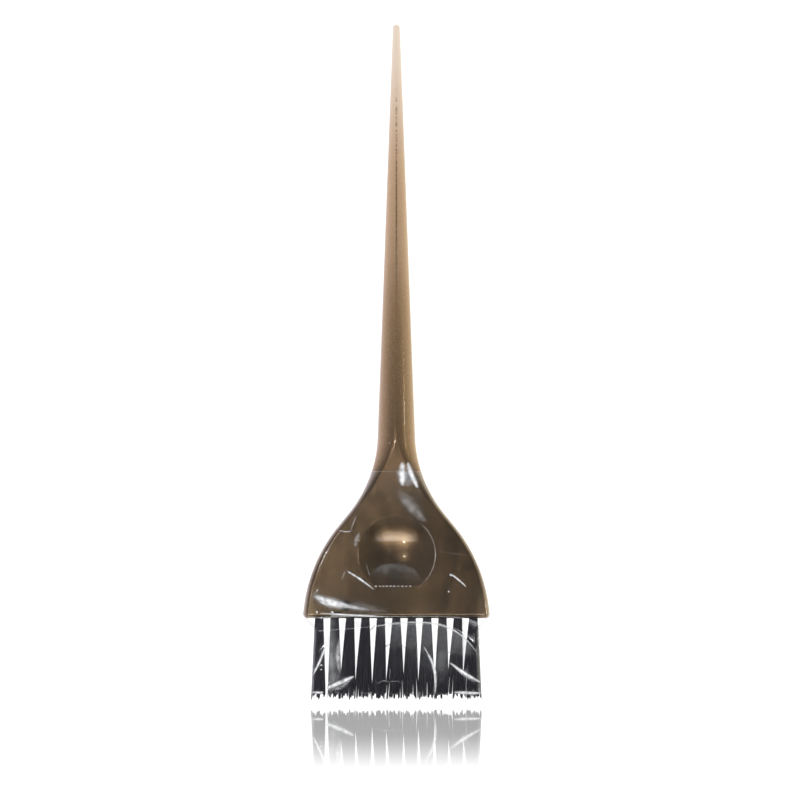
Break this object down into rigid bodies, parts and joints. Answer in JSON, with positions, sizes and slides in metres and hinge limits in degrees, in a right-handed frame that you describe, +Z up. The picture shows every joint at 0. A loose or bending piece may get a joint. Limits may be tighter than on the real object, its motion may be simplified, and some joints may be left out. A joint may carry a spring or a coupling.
{
  "type": "tint brush",
  "caption": "Hairdresser's wide tint brush: pointed tail handle, fan-shaped head with thumb dishes, rows of black nylon tufts on metal anchors, clear shrink sleeve.",
  "frame": {"origin": "middle of the plane of the trimmed bristle tips, on which the brush stands", "axes": "+Z up the handle from the bristle tips to the tail, +X across the width of the head, +Y through its thickness, from the front face to the back"},
  "size_m": [0.061, 0.0124, 0.2189],
  "materials": {
    "handle_plastic": "glossy translucent bronze plastic with a fine pearl fleck, paler towards the thin tail",
    "bristle_nylon": "black nylon filaments with a satin sheen",
    "anchor_metal": "drawn flat wire, hidden in the head",
    "clear_film": "clear glossy shrink film with a few creases"
  },
  "bodies": {
    "root": {"handle": "handle_plastic", "tuft_front_01": "bristle_nylon", "tuft_front_02": "bristle_nylon", "tuft_front_03": "bristle_nylon", "tuft_front_04": "bristle_nylon", "tuft_front_05": "bristle_nylon", "tuft_front_06": "bristle_nylon", "tuft_front_07": "bristle_nylon", "tuft_front_08": "bristle_nylon", "tuft_front_09": "bristle_nylon", "tuft_front_10": "bristle_nylon", "tuft_front_11": "bristle_nylon", "tuft_rear_01": "bristle_nylon", "tuft_rear_02": "bristle_nylon", "tuft_rear_03": "bristle_nylon", "tuft_rear_04": "bristle_nylon", "tuft_rear_05": "bristle_nylon", "tuft_rear_06": "bristle_nylon", "tuft_rear_07": "bristle_nylon", "tuft_rear_08": "bristle_nylon", "tuft_rear_09": "bristle_nylon", "tuft_rear_10": "bristle_nylon", "tuft_rear_11": "bristle_nylon", "anchor_front_01": "anchor_metal", "anchor_front_02": "anchor_metal", "anchor_front_03": "anchor_metal", "anchor_front_04": "anchor_metal", "anchor_front_05": "anchor_metal", "anchor_front_06": "anchor_metal", "anchor_front_07": "anchor_metal", "anchor_front_08": "anchor_metal", "anchor_front_09": "anchor_metal", "anchor_front_10": "anchor_metal", "anchor_front_11": "anchor_metal", "anchor_rear_01": "anchor_metal", "anchor_rear_02": "anchor_metal", "anchor_rear_03": "anchor_metal", "anchor_rear_04": "anchor_metal", "anchor_rear_05": "anchor_metal", "anchor_rear_06": "anchor_metal", "anchor_rear_07": "anchor_metal", "anchor_rear_08": "anchor_metal", "anchor_rear_09": "anchor_metal", "anchor_rear_10": "anchor_metal", "anchor_rear_11": "anchor_metal", "shrink_sleeve": "clear_film"}
  },
  "joints": []
}
